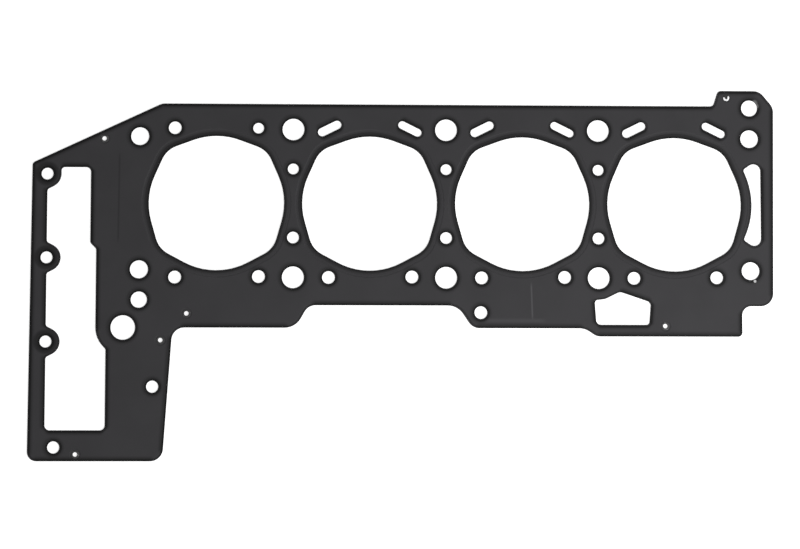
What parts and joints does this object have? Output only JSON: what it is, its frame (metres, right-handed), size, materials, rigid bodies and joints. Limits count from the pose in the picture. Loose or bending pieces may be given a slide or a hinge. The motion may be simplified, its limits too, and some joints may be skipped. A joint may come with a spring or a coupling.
{
  "type": "cylinder head gasket",
  "caption": "Multi-layer steel cylinder head gasket for an inline bank, with beaded bore seals, bolt, oil and coolant holes and a tall timing chain window at one end.",
  "frame": {"origin": "midway between the two inner bores on the bore line, at half the stack's thickness, which is the centre of the inner head bolt holes", "axes": "+X along the bore row away from the chain window, +Y across it towards the side with the slanted slots, +Z out of the upper face"},
  "size_m": [0.5259, 0.2629, 0.0016],
  "materials": {
    "coated_steel": "matt elastomer-coated spring steel",
    "carrier_steel": "plain rolled steel sheet",
    "stop_steel": "thin bright steel shim",
    "coated_eyelet": "dark coated steel eyelet",
    "bright_rivet": "bright steel rivet"
  },
  "bodies": {
    "root": {"upper_bead_layer": "coated_steel", "carrier_layer": "carrier_steel", "lower_bead_layer": "coated_steel", "stop_ring_1": "stop_steel", "stop_ring_2": "stop_steel", "stop_ring_3": "stop_steel", "stop_ring_4": "stop_steel", "eyelet_1": "coated_eyelet", "eyelet_2": "coated_eyelet", "eyelet_3": "coated_eyelet", "eyelet_4": "coated_eyelet", "eyelet_5": "coated_eyelet", "tab_rivet": "bright_rivet"}
  },
  "joints": []
}
